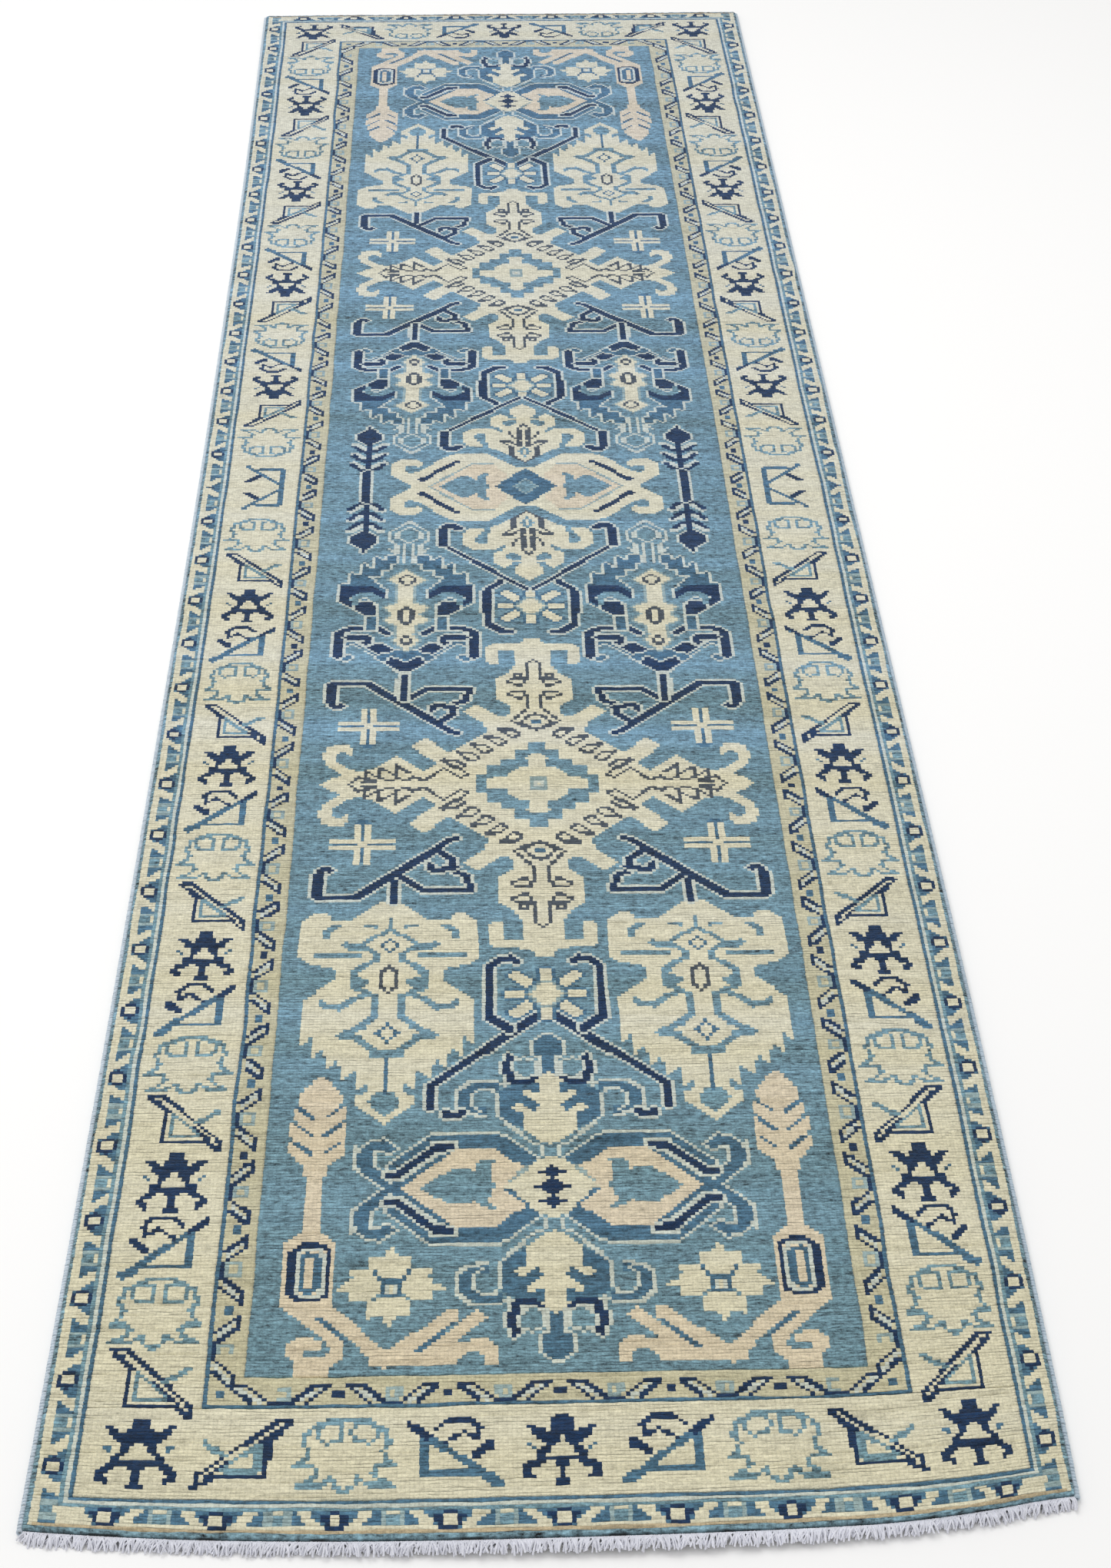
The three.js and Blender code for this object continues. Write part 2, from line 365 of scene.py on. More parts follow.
# The navy branches.
rug.turnTo(foldRow=-177)
rug.line("navy", [
    (-59, -218), (-60.5, -217), (-62, -219.5), (-62, -230.5), (-51, -230.5), (-28.5, -208),
    (-26, -204.5), (-23, -203.5),
], 2.2, "white")
rug.line("navy", [(-40.5, -221), (-40.5, -232.5)], 2.2, "white")
rug.line("navy", [
    (-39, -221), (-32.5, -228), (-19.5, -227.5), (-20.5, -221), (-23.5, -219.5),
], 2, "white")
rug.line("navy", [
    (-29, -209.5), (-25, -212.5), (-24, -217.5), (-30, -218.5), (-31, -215.5),
], 2.2, "white")
rug.line("navy", [(-51, -230.5), (-28.5, -208), (-26, -204.5)], 2.2)

# The star nearest the middle, with its bracket and diagonal.
rug.turnTo(foldRow=-78)
rug.patch("sky", [(4, -88), (-9, -88), (-12, -85), (-12, -70), (-8, -67), (4, -67)])
star(-78)
rug.turnTo()
rug.line("navy", [
    (-6.5, -93.5), (-9, -93.5), (-13.5, -89), (-14, -81), (-14, -68.5), (-9, -62.5),
], 2.2, "white")
rug.line("navy", [(-28, -39.5), (-1, -67.5)], 1.6, "white")
rug.line("navy", [(-28, -39.5), (-28, -30), (-27.5, -27.5), (-25, -26.5), (-23, -28.5)], 2.6, "white")

# The blue palmettes.
rug.turnTo(foldColumn=-39.5)
rug.line("navy", [(-39.5, -118), (-39.5, -133)], 2.2, "white")
rug.patch("denim", [
    (-39.5, -117.5), (-42, -116), (-52, -104.5), (-55, -100), (-60.5, -99.5), (-62, -108.5),
    (-59, -110.5), (-56.5, -109.5), (-56, -108.5), (-59, -106.5), (-59.5, -103), (-57.5, -101),
    (-55.5, -101), (-52, -104.5), (-47, -106.5), (-43, -104.5), (-39.5, -104),
], "white")
rug.patch("navy", [
    (-39.5, -117), (-42, -115.5), (-45.5, -111.5), (-44, -108.5), (-42, -109.5), (-39.5, -112),
], "white")
rug.patch("navy", [
    (-51.5, -102.5), (-48.5, -100.5), (-46.5, -100.5), (-43, -104.5), (-48.5, -106.5),
], "white")
rug.line("navy", [
    (-61, -108.5), (-61, -94), (-58.5, -92), (-52, -91), (-48.5, -91.5), (-45.5, -94.5),
], 2.2, "white")
rug.line("navy", [(-58, -97), (-51.5, -97), (-52, -100.5)], 2.2, "white")
rug.line("denim", [(-51, -91), (-51, -78), (-53.5, -75.5)], 3.2, "white")
rug.patch("navy", [
    (-49.5, -78), (-51, -75.5), (-54, -75), (-56.5, -77), (-56.5, -79.5), (-52.5, -84), (-49.5, -84),
], "white")
rug.patch("denim", [
    (-61, -75.5), (-61, -64.5), (-59, -64.5), (-58.5, -57), (-56.5, -59), (-54.5, -58.5), (-54, -51.5),
    (-52, -54.5), (-50.5, -54.5), (-50, -47.5), (-48, -50), (-46.5, -50), (-46, -46.5), (-43, -47),
    (-43, -52), (-45, -52), (-45, -55.5), (-48.5, -55.5), (-48.5, -59.5), (-52, -60), (-46.5, -68.5),
    (-46, -74), (-51, -69.5), (-55, -69.5), (-58.5, -72.5), (-57, -79.5),
], "white")
rug.patch("navy", [
    (-61, -75), (-61, -66), (-51, -65.5), (-46.5, -69.5), (-46, -74), (-51, -69.5), (-55, -69.5),
    (-58.5, -72.5), (-57, -79),
])
rug.line("teal", [(-56.5, -77), (-57, -73.5), (-54, -70.5), (-51, -71), (-47.5, -74.5)], 2.2)
rug.patch("cream", [
    (-39.5, -55.5), (-42.5, -58.5), (-45.5, -61.5), (-42, -65.5), (-42, -76.5), (-46.5, -78.5),
    (-44, -83), (-47, -86.5), (-44.5, -88.5), (-42.5, -90), (-42, -95), (-43.5, -99), (-39.5, -105),
], "pale")
rug.line("slate", [(-39.5, -58.5), (-42.5, -61.5), (-39.5, -65.5)])
rug.line("slate", [(-39.5, -78.5), (-41.5, -81), (-41.5, -86.5), (-39.5, -89.5)], 1.1)
rug.line("slate", [(-39.5, -96), (-41.5, -98.5), (-39.5, -101.5)])
rug.line("white", [
    (-39.5, -24), (-46, -31), (-46, -36.5), (-43.5, -39.5), (-43.5, -45), (-46.5, -41.5),
])
rug.line("white", [(-39.5, -38), (-43.5, -35), (-43.5, -31.5), (-39.5, -27.5)])
rug.patch("teal", [(-39.5, -37.5), (-42.5, -35), (-42.5, -31.5), (-39.5, -28.5)])
rug.line("white", [(-41, -39), (-41, -51)])

# The navy arrow with its plumes, at each side of the middle.
rug.turnTo(foldColumn=-54.8, foldRow=0)
rug.patch("navy", [
    (-55, -30), (-56.5, -31), (-59, -34), (-59, -38.5), (-57.5, -40), (-55.5, -42.5), (-54, -45.5),
    (-54, -30),
], "white")
plumeRows = [-10.5 - 6.8 * step for step in range(3)]
for row in plumeRows:
    rug.line("white", [(-54.8, row - 1), (-60.3, row - 6)], 3.2)
for row in plumeRows:
    rug.line("navy", [(-54.8, row), (-58, row - 1.8), (-60.3, row - 5)], 1.8)
rug.line("navy", [(-55, 0), (-55, -30)], 1.4)
rug.line("navy", [(-55, 0), (-55, -10)], 2.4, "white")

# The middle crab.
rug.turnTo(foldRow=0)
rug.patch("cream", [
    (-10.5, 0), (-39, 0), (-46, -7.5), (-46, -16), (-43, -19.5), (-38.5, -20), (-36, -17.5),
    (-35.5, -14.5), (-37.5, -13.5), (-38, -15), (-41, -14), (-41, -10.5), (-39, -9.5), (-36.5, -11),
    (-26.5, -22), (-24, -23), (-13, -23.5), (-4, -15.5), (-2, -13.5), (4, -13.5), (0, -11),
])
rug.patch("sand", [(-32.5, 0), (-20, -14), (-17, -15.5), (-10.5, -15), (-6, -7.5), (-10.5, 0)])
rug.patch("sky", [
    (-29, 0), (-26, -3), (-22, -7.5), (-20.5, -7.5), (-17, -4.5), (-16, -7), (-14.5, -9.5), (-12, -9.5),
    (-13.5, -7), (-13.5, -3), (-12, 0),
])
rug.line("pale", [(-33, 0), (-21.5, -12.5), (-18.5, -15.5), (-11, -16)])
rug.line("navy", [(-36.5, -5), (-35, -5), (-24.5, -17), (-23.5, -17.5)], 2)
rug.patch("denim", [(-10.5, 0), (0, -13), (4, -8), (4, 0)])
rug.patch("teal", [(-3.5, 0), (0, -4.5), (4, -4.5), (4, 0)], "pale")
rug.line("sky", [(-11.5, -23), (-3, -15)], 2)
# The palmette above and below the middle crab.
rug.patch("cream", [
    (0, -16.5), (-8, -25), (-12.5, -28), (-12.5, -32), (-15, -30.5), (-14.5, -28.5), (-19, -28.5),
    (-22, -32.5), (-21.5, -39), (-17.5, -43), (-11, -42.5), (-7.5, -39.5), (-8.5, -43), (-11.5, -45),
    (-11.5, -51), (-8, -54.5), (-5, -52), (-5.5, -50.5), (-2.5, -50), (-4, -53.5), (-4, -58.5), (0, -63),
    (4, -63), (4, -16.5),
])
rug.patch("sky", [(-15, -30.5), (-13, -32), (-13, -37.5), (-15, -39), (-17, -37.5), (-17, -35)])
rug.patch("sky", [(-5.5, -43.5), (-7.5, -46), (-7.5, -48.5), (-3, -49.5), (-2.5, -47)])
rug.line("slate", [
    (0, -17), (-4.5, -22), (-4.5, -28.5), (-8, -32.5), (-5, -32.5), (-1.5, -28.5), (-1.5, -32.5),
    (-4.5, -37.5), (-5, -40),
])
rug.line("slate", [(-1.5, -34), (-1.5, -41), (-2, -43), (0, -45.5)])
rug.line("teal", [(0, -21.5), (-1.5, -25), (0, -28)])


# The borders, as rings of knots counted outwards from the field.
def borderRing(yarn, first, last):
    outside = np.maximum(-rug.column - field["halfColumns"], -rug.row - field["halfRows"]) - 1
    rug.knots[(outside >= first) & (outside <= last)] = yarns.index(yarn)


borderRing("straw", 0, 44)
borderRing("cream", 9, 34)
borderRing("denim", 8, 8)
borderRing("denim", 35, 35)
borderRing("white", 36, 36)
borderRing("teal", 37, 37)
borderRing("cream", 38, 43)

innerMiddle = field["halfRows"] + 5.5
mainMiddle = field["halfRows"] + 22.5
outerMiddle = field["halfRows"] + 40
endToSide = field["halfColumns"] - field["halfRows"]
innerSide, mainSide, outerSide = innerMiddle + endToSide, mainMiddle + endToSide, outerMiddle + endToSide


# One length of the inner guard: a square, then a dotted ribbon and a pale box towards the next.
def ribbonLength(yarn):
    rug.patch(yarn, [(-1.4, -1.4), (1.4, -1.4), (1.4, 1.4), (-1.4, 1.4)])
    for side in (-1, 1):
        rug.line("white", [(4 * side, 1.5), (8.5 * side, -2)])
        rug.line("navy", [
            (2 * side, 2.2), (6 * side, 2.2), (10.2 * side, -2.2), (12.7 * side, -2.2),
        ], 1.1)
        rug.line("navy", [(2.8 * side, 1.5), (6.8 * side, -2.2)], 1.1)
        rug.line("pale", [(12.7 * side, 1.8), (11 * side, 1.8), (11 * side, -1.2), (12.7 * side, -1.2)])


for step in range(3):
    rug.turnTo(origin=(-24.5 * step, -innerMiddle))
    ribbonLength("navy")
for step in range(1, 17):
    rug.turnTo(origin=(-innerSide, -innerMiddle + 25.55 * step), across=(0, 1), along=(1, 0))
    ribbonLength("denim" if step % 3 else "navy")
for across, along in (((0, 1), (1, 0)), ((1, 0), (0, 1))):
    rug.turnTo((-innerSide, -innerMiddle), across, along)
    rug.line("navy", [(2, 2.2), (6, 2.2), (10.2, -2.2), (12.7, -2.2)], 1.1)
    rug.line("navy", [(2.8, 1.5), (6.8, -2.2)], 1.1)
    rug.line("white", [(4, 1.5), (8.5, -2)])
rug.turnTo(origin=(-innerSide, -innerMiddle))
rug.patch("denim", [(-1.4, -1.4), (1.4, -1.4), (1.4, 1.4), (-1.4, 1.4)])


def turtle():
    rug.patch("navy", [
        (0, 9.8), (-1.6, 9.8), (-2.4, 8.3), (-2.6, 5.2), (-5, 6.2), (-6, 7.5), (-8, 7.2), (-6.8, 5.3),
        (-6.2, 4.3), (-3.8, 2.3), (-4.3, 0), (-5.8, -1), (-5.8, -3.4), (5.8, -3.4), (5.8, -1), (4.3, 0),
        (3.8, 2.3), (6.2, 4.3), (6.8, 5.3), (8, 7.2), (6, 7.5), (5, 6.2), (2.6, 5.2), (2.4, 8.3),
        (1.6, 9.8),
    ])
    rug.patch("cream", [(0, 3.8), (-3.8, -1.7), (3.8, -1.7)])
    rug.patch("navy", [
        (0, -3.3), (-2.3, -3.6), (-0.7, -5.3), (-0.7, -7.2), (-2, -8.7), (-1.5, -9.6), (1.5, -9.6),
        (2, -8.7), (0.7, -7.2), (0.7, -5.3), (2.3, -3.6),
    ])
    for side in (-1, 1):
        rug.line("navy", [(4.5 * side, -3), (7.3 * side, -4.8), (8 * side, -6.3), (6.5 * side, -7.5)], 2)
        rug.line("denim", [(7.5 * side, 1.7), (6 * side, 0.6)])


def leaf():
    rug.patch("cream", [(-9.5, 9), (-6.3, 9.2), (10, -6.5), (10.3, -10), (-4.7, 3.5)])
    rug.line("navy", [
        (-9.5, 9), (-6.3, 9.2), (10, -6.5), (10.3, -10), (6.7, -6.8), (-4.5, -6.8), (-4.7, 3.5),
        (-9.5, 9),
    ], 1.2)
    rug.line("navy", [(-7, 7.2), (-4.5, 4.2), (7.5, -6.3)])
    rug.line("teal", [(4.5, -5), (-2.7, -5), (-2.7, 2.5), (4.5, -4.3)])
    rug.line("teal", [(4, -0.5), (9, 3)], 1.6)


def flower():
    for side in (-1, 1):
        rug.line("teal", [
            (0, 9.9), (3 * side, 9.9), (6 * side, 8), (8.5 * side, 6.5), (9.3 * side, 3),
            (8 * side, 0.5), (9 * side, -2), (11 * side, -3.8), (7 * side, -3.8), (6 * side, -5.5),
            (7.5 * side, -7.5), (10.5 * side, -9.2), (5.5 * side, -9), (3 * side, -7), (2 * side, -9.5),
            (0, -10.5),
        ], 1.2)
        rug.line("teal", [
            (1.3 * side, 8), (4 * side, 8.6), (6.6 * side, 7), (6.8 * side, 4.8), (4.8 * side, 2.8),
            (1.8 * side, 3.4), (1 * side, 5.5), (1.3 * side, 8),
        ])


def bird():
    rug.line("denim", [(6, 5), (6, -6.2), (-5, -6.2)], 1.4)
    rug.line("denim", [(9.5, 8), (-9.5, -9)], 2)
    rug.line("denim", [(-7, -7), (-9.5, -9)], 2.8)
    rug.line("navy", [(9.5, 8), (5.5, 4.5)], 2)
    rug.line("navy", [(-5.5, 3.5), (-6, 6.5), (-3.5, 9), (1, 9), (3.5, 6.5)], 1.3)
    rug.line("navy", [(-5, 3.5), (-2.5, 5.5), (1.5, 2.5)], 1.1)
    rug.line("navy", [(-8, 1.5), (-4.8, -1)], 2.4)


mainMotifs = [turtle, leaf, flower, bird]
for middle, motif in ((-68.2, leaf), (-46.7, flower), (-23.5, bird), (0, turtle)):
    rug.turnTo(origin=(middle, -mainMiddle), across=(-1, 0))
    motif()
for step in range(19):
    rug.turnTo(origin=(-mainSide, -mainMiddle + 20.9 * step + 0.0525 * step * step), along=(0, 1.06))
    mainMotifs[step % 4]()
# Halfway along a side there is one motif of its own, which the mirroring completes.
rug.turnTo(origin=(-mainSide, 0))
rug.line("denim", [(7, 0), (7, -12.4), (-2.4, -12.4)], 1.2)
rug.line("denim", [(6.4, -1.5), (-6.1, -14.5)], 1.6)
rug.line("navy", [(-5.5, -4.3), (-2.4, -7.4)], 2.2)


def darkLozenge():
    rug.patch("denim", [
        (-5.4, 1.5), (5.4, 1.5), (4.6, 0), (3.2, -1.6), (2, -3.4), (-2, -3.4), (-3.2, -1.6), (-4.6, 0),
    ])
    rug.patch("navy", [(-3.4, 0), (3.4, 0), (1.8, -3.4), (-1.8, -3.4)])
    rug.patch("cream", [(-1.4, 0.9), (1.4, 0.9), (1.4, -2.4), (-1.4, -2.4)], "navy")


def paleLozenge():
    for side in (-1, 1):
        rug.patch("denim", [(6.8 * side, -2.6), (2.6 * side, -2.6), (2.6 * side, 1.4), (3.4 * side, 1.4)])
        rug.line("pale", [(2 * side, 1), (2 * side, -2.4)])
    rug.patch("teal", [(-1.4, 0.6), (1.4, 0.6), (1.4, -2.4), (-1.4, -2.4)])


for step in range(9):
    rug.turnTo(origin=(-12.1 * step, -outerMiddle))
    (paleLozenge if step % 2 else darkLozenge)()
for step in range(36):
    rug.turnTo(origin=(-outerSide, -outerMiddle + 0.5 + 12.7 * step), across=(0, 1), along=(1, 0))
    (darkLozenge if step % 2 else paleLozenge)()
borderRing("edge", 44, 44)
outsideEnd = -rug.row - field["halfRows"] - 1
outsideLeft = -rug.column - field["halfColumns"] - 1
rug.knots[(outsideEnd == 43) & (outsideLeft < 43)] = yarns.index("camel")

nearLeft = rug.knots[: halfRows + 1, : halfColumns + 1]
nearHalf = np.hstack([nearLeft, nearLeft[:, -2::-1]])
knots = np.vstack([nearHalf, nearHalf[-2::-1]])
print("woven cartoon", knots.shape)

# How the rug lies, in millimetres. Rows are beaten down tighter in places and looser in others, the
# sides are drawn in, the near end bows out and its right corner turns in, and the cloth swells a little.
lie = dict(
    knot=3.4, fieldRow=3.476, waist=8.5, sway=4, spread=5.5, spreadNear=3, skew=9, leftOut=3.5,
    rightIn=14, rightInReach=450, rightInFar=3, bow=5.5, bowReach=600,
    cornersBack=20, rightCornerBack=9, cornerReach=130,
    lift=4.5, liftReach=140, liftWave=125, liftFrom=330,
    swell=1.2, swellReach=300, swellLength=170, swellWidth=210,
)
rowCount, columnCount = knots.shape
fieldRow = np.arange(-field["halfRows"], field["halfRows"] + 1)
looseness = np.interp(fieldRow, [15, 50, 115, 150, 265, 295], [1, 0.93, 0.93, 1.05, 1.05, 1.14])
fieldPitches = lie["fieldRow"] * looseness / looseness.mean()
borderPitches = np.full(bordersWidth, lie["knot"])
rowEdges = np.append(0, np.cumsum(np.concatenate([borderPitches, fieldPitches, borderPitches])))
rowEdges -= rowEdges[-1] / 2
columnEdges = (np.arange(columnCount + 1) - columnCount / 2) * lie["knot"]
halfLength, halfWidth = rowEdges[-1], columnEdges[-1]


def easing(value, start, end):
    step = np.clip((value - start) / (end - start), 0, 1)
    return step * step * (3 - 2 * step)


# Takes points of the rug as drawn flat to where they lie.
def lay(x, y, z):
    along, across = y / halfLength, x / halfWidth
    fromNear = np.maximum(y + halfLength, -20)
    ease = np.maximum(0, 1 - along**2)
    sideways = lie["sway"] * ease - lie["waist"] * across * ease
    spread = lie["spread"] * (1 - along**2) - lie["spreadNear"] * along - along**2
    sideways += spread * np.sin(math.pi * np.clip(across, -1, 1))
    sideways -= lie["leftOut"] * easing(across, -0.5, -0.65)
    rightIn = lie["rightIn"] * np.exp(-fromNear / lie["rightInReach"])
    rightIn += lie["rightInFar"] * easing(along, 0.4, 1)
    sideways -= rightIn * easing(across, 0.75, 1)
    outward = lie["bow"] * np.exp(-fromNear / lie["bowReach"]) + lie["skew"] * across * ease
    corners = lie["cornersBack"] * np.abs(across) ** 2.2 + lie["rightCornerBack"] * easing(across, 0.55, 1)
    outward -= corners * np.exp(-fromNear / lie["cornerReach"])
    waves = 0.5 - 0.5 * np.cos((x + lie["liftFrom"]) / lie["liftWave"])
    raised = lie["lift"] * waves * np.exp(-((fromNear / lie["liftReach"]) ** 2))
    swells = 0.5 + 0.5 * np.sin(y / lie["swellLength"] + 0.6 * np.sin(x / lie["swellWidth"]))
    raised += lie["swell"] * swells * np.clip(fromNear / lie["swellReach"], 0, 1)
    return x + sideways, y - outward, z + raised


# Noise of this shape, which changes over so many rows and columns.
def smoothNoise(shape, grain):
    noise = random.standard_normal([math.ceil(count / size) + 2 for count, size in zip(shape, grain)])
    for axis in (0, 1):
        steps = np.arange(shape[axis]) / grain[axis]
        whole = steps.astype(int)
        part = (steps - whole) ** 2 * (3 - 2 * (steps - whole))
        part = part[:, None] if axis == 0 else part[None, :]
        noise = noise.take(whole, axis=axis) * (1 - part) + noise.take(whole + 1, axis=axis) * part
    return noise


# Every row of knots is a low ridge between two furrows, where the wefts pass. Some furrows are deeper.
pile = dict(
    foot=3.1, footStep=12, top=8.8, furrow=0.9, deepest=1.5, wander=0.5, rowWander=0.28, jitter=0.42,
    ragged=0.3, edgeDrop=1.3,
)
lineY = np.empty(2 * rowCount + 1)
lineY[0::2] = rowEdges
lineY[1::2] = (rowEdges[:-1] + rowEdges[1:]) / 2
topX, topY = np.meshgrid(columnEdges, lineY)
gridShape = topX.shape
deeper = np.clip(smoothNoise((rowCount + 1, columnCount + 1), (1, 14)) - 0.4, 0, pile["deepest"])
topZ = np.full(gridShape, pile["top"])
topZ[0::2] -= pile["furrow"] * (1 + 1.6 * deeper)
topZ += random.uniform(-pile["ragged"], pile["ragged"], gridShape)
wanderX = pile["wander"] * smoothNoise(gridShape, (30, 6))
wanderX += random.uniform(-pile["jitter"], pile["jitter"], gridShape)
wanderY = pile["wander"] * smoothNoise(gridShape, (60, 34))
wanderY += pile["rowWander"] * smoothNoise(gridShape, (1, 5))
wanderX[:, 0] = wanderX[:, -1] = 0
wanderY[0] = wanderY[-1] = 0
topX, topY = topX + wanderX, topY + wanderY
topZ[:, 0] -= pile["edgeDrop"]
topZ[:, -1] -= pile["edgeDrop"]
topZ[0] -= pile["edgeDrop"]
topZ[-1] -= pile["edgeDrop"]
pileTop = np.stack(lay(topX, topY, topZ), axis=-1)
print("pile laid out,", pileTop.shape[0] * pileTop.shape[1], "points")


# A mesh from its points in millimetres and its faces, each a list of corners or one row of an array.
def newPiece(name, points, faceSizes, corners, materials, faceMaterials=0, smoothFaces=True):
    mesh = bpy.data.meshes.new(name)
    mesh.vertices.add(len(points))
    mesh.vertices.foreach_set("co", (np.asarray(points) * millimetre).astype(np.float32).ravel())
    mesh.loops.add(len(corners))
    mesh.loops.foreach_set("vertex_index", np.asarray(corners, np.int32))
    mesh.polygons.add(len(faceSizes))
    mesh.polygons.foreach_set("loop_start", np.append(0, np.cumsum(faceSizes)[:-1]).astype(np.int32))
    faceMaterials = np.broadcast_to(faceMaterials, len(faceSizes)).astype(np.int32)
    mesh.polygons.foreach_set("material_index", faceMaterials)
    mesh.update(calc_edges=True)
    mesh.polygons.foreach_set("use_smooth", np.broadcast_to(smoothFaces, len(faceSizes)).astype(bool))
    for material in materials:
        mesh.materials.append(material)
    piece = bpy.data.objects.new(name, mesh)
    bpy.context.scene.collection.objects.link(piece)
    return piece


def addMap(piece, name, places):
    uv = piece.data.uv_layers.new(name=name)
    uv.uv.foreach_set("vector", np.asarray(places, np.float32).ravel())


# Every square between neighbouring points of a grid, its corners in the order that faces it up.
def squares(grid):
    return np.stack([grid[:-1, :-1], grid[:-1, 1:], grid[1:, 1:], grid[1:, :-1]], axis=-1).reshape(-1, 4)


facingDown = [0, 3, 2, 1]


# Every piece lies on the one body, in place of one node.
def fasten(piece, node):
    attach(piece, "root")
    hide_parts(node)
    return piece


# A block of pile between two columns and two rows, counted from the rug's near left corner. Its top
# is one mesh square on each side of every knot's ridge, and it stands on a coarser grid.
def pileBlock(name, node, slot, firstColumn, lastColumn, firstRow, lastRow):
    columns, rows = lastColumn - firstColumn, lastRow - firstRow
    top = pileTop[2 * firstRow:2 * lastRow + 1, firstColumn:lastColumn + 1]
    index = np.arange(top.shape[0] * top.shape[1]).reshape(top.shape[:2])
    footRows = np.unique(np.append(np.arange(0, rows, pile["footStep"]), rows))
    footColumns = np.unique(np.append(np.arange(0, columns, pile["footStep"]), columns))
    footX, footY = np.meshgrid(columnEdges[footColumns + firstColumn], rowEdges[footRows + firstRow])
    foot = np.stack(lay(footX, footY, np.full(footX.shape, pile["foot"])), axis=-1)
    footIndex = index.size + np.arange(footX.size).reshape(footX.shape)
    quads = np.concatenate([squares(index), squares(footIndex)[:, facingDown]])
    walls = []
    for step, (low, high) in enumerate(zip(footRows[:-1], footRows[1:])):
        left, right = index[2 * low:2 * high + 1, 0], index[2 * low:2 * high + 1, -1]
        walls.append([footIndex[step, 0], *left, footIndex[step + 1, 0]])
        walls.append([footIndex[step + 1, -1], *right[::-1], footIndex[step, -1]])
    for step, (low, high) in enumerate(zip(footColumns[:-1], footColumns[1:])):
        near, far = index[0, low:high + 1], index[-1, low:high + 1]
        walls.append([footIndex[0, step + 1], *near[::-1], footIndex[0, step]])
        walls.append([footIndex[-1, step], *far, footIndex[-1, step + 1]])
    sizes = [4] * len(quads) + [len(wall) for wall in walls]
    corners = np.concatenate([quads.ravel(), *walls])
    block = knots[firstRow:lastRow, firstColumn:lastColumn]
    faceYarns = np.full(len(sizes), block[rows // 2, 0])
    faceYarns[:2 * block.size] = np.repeat(block, 2, axis=0).ravel()
    isTop = np.arange(len(sizes)) < 2 * block.size
    used, faceMaterials = np.unique(faceYarns, return_inverse=True)
    points = np.concatenate([top.reshape(-1, 3), foot.reshape(-1, 3)])
    piece = newPiece(name, points, sizes, corners, [wools[yarn] for yarn in used], faceMaterials, isTop)

    columnOf, rowOf = np.meshgrid(np.arange(columns + 1.0), np.arange(2 * rows + 1) / 2)
    footColumnOf, footRowOf = np.meshgrid(footColumns, footRows)
    columnOf = np.append(columnOf.ravel(), footColumnOf.ravel())[corners]
    rowOf = np.append(rowOf.ravel(), footRowOf.ravel())[corners]
    addMap(piece, "knots", np.stack([columnOf + firstColumn, rowOf + firstRow], axis=-1))
    strips = max(1, round(math.sqrt(rows / columns)))
    stripRows = math.ceil(rows / strips)
    faceOf = np.repeat(np.arange(len(sizes)), sizes)
    faceRow = np.minimum.reduceat(rowOf, np.append(0, np.cumsum(sizes)[:-1]))
    strip = (faceRow // stripRows).astype(int)[faceOf]
    acrossStrip = 0.01 + 0.98 * columnOf / columns
    alongStrip = 0.01 + 0.95 * (rowOf - strip * stripRows) / stripRows
    isSide = ~isTop[faceOf]
    alongStrip[isSide] = 0.97 + 0.02 * np.clip(alongStrip[isSide], 0, 1)
    addMap(piece, "OFBake", np.stack([(strip + acrossStrip) / strips, alongStrip], axis=-1))
    return fasten(piece, node)

# Shader and geometry maths written as plain expressions: each one adds its nodes to the same tree.
class Signal:
    def __init__(self, web, socket):
        self.web, self.socket = web, socket

    def other(self, output):
        return Signal(self.web, self.socket.node.outputs[output])

    def maths(self, operation, *values):
        return self.web.add("ShaderNodeMath", dict(operation=operation), dict(enumerate(values)))

    def __add__(self, value):
        return self.maths("ADD", self, value)

    def __sub__(self, value):
        return self.maths("SUBTRACT", self, value)

    def __mul__(self, value):
        return self.maths("MULTIPLY", self, value)

    def __rsub__(self, value):
        return self.maths("SUBTRACT", value, self)

    def __pow__(self, value):
        return self.maths("POWER", self, value)

    # How far this is from low to high, kept between 0 and 1.
    def clamped(self, low, high):
        sockets = {"Value": self, "From Min": low, "From Max": high}
        return self.web.add("ShaderNodeMapRange", dict(clamp=True), sockets)

    def __abs__(self):
        return self.maths("ABSOLUTE", self)

    __radd__ = __add__
    __rmul__ = __mul__


# One node tree, with a single way of adding a node: its type, its settings, then its sockets.
class Web:
    def __init__(self, tree):
        self.tree = tree

    def add(self, kind, settings=None, sockets=None, output=0):
        node = self.tree.nodes.new(kind)
        for name, value in (settings or {}).items():
            setattr(node, name, value)
        for name, value in (sockets or {}).items():
            if isinstance(value, Signal):
                self.tree.links.new(value.socket, node.inputs[name])
            else:
                node.inputs[name].default_value = value
        return Signal(self, node.outputs[output]) if node.outputs else node

    def mix(self, factor, first, second, blend="MIX"):
        settings = dict(data_type="RGBA", blend_type=blend)
        return self.add("ShaderNodeMix", settings, {0: factor, 6: first, 7: second}, output=2)

    def scaled(self, colour, shade):
        plain = colour if isinstance(colour, Signal) else colour[:3]
        return self.add("ShaderNodeVectorMath", dict(operation="SCALE"), {0: plain, 3: shade})

    def noise(self, where, scale, detail=2.0, dimensions="3D"):
        place = "W" if dimensions == "1D" else "Vector"
        sockets = {place: where, "Scale": scale, "Detail": detail}
        return self.add("ShaderNodeTexNoise", dict(noise_dimensions=dimensions), sockets)


def linear(colour):
    parts = [channel / 255 for channel in colour]
    return (*[part / 12.92 if part <= 0.04045 else ((part + 0.055) / 1.055) ** 2.4 for part in parts], 1)


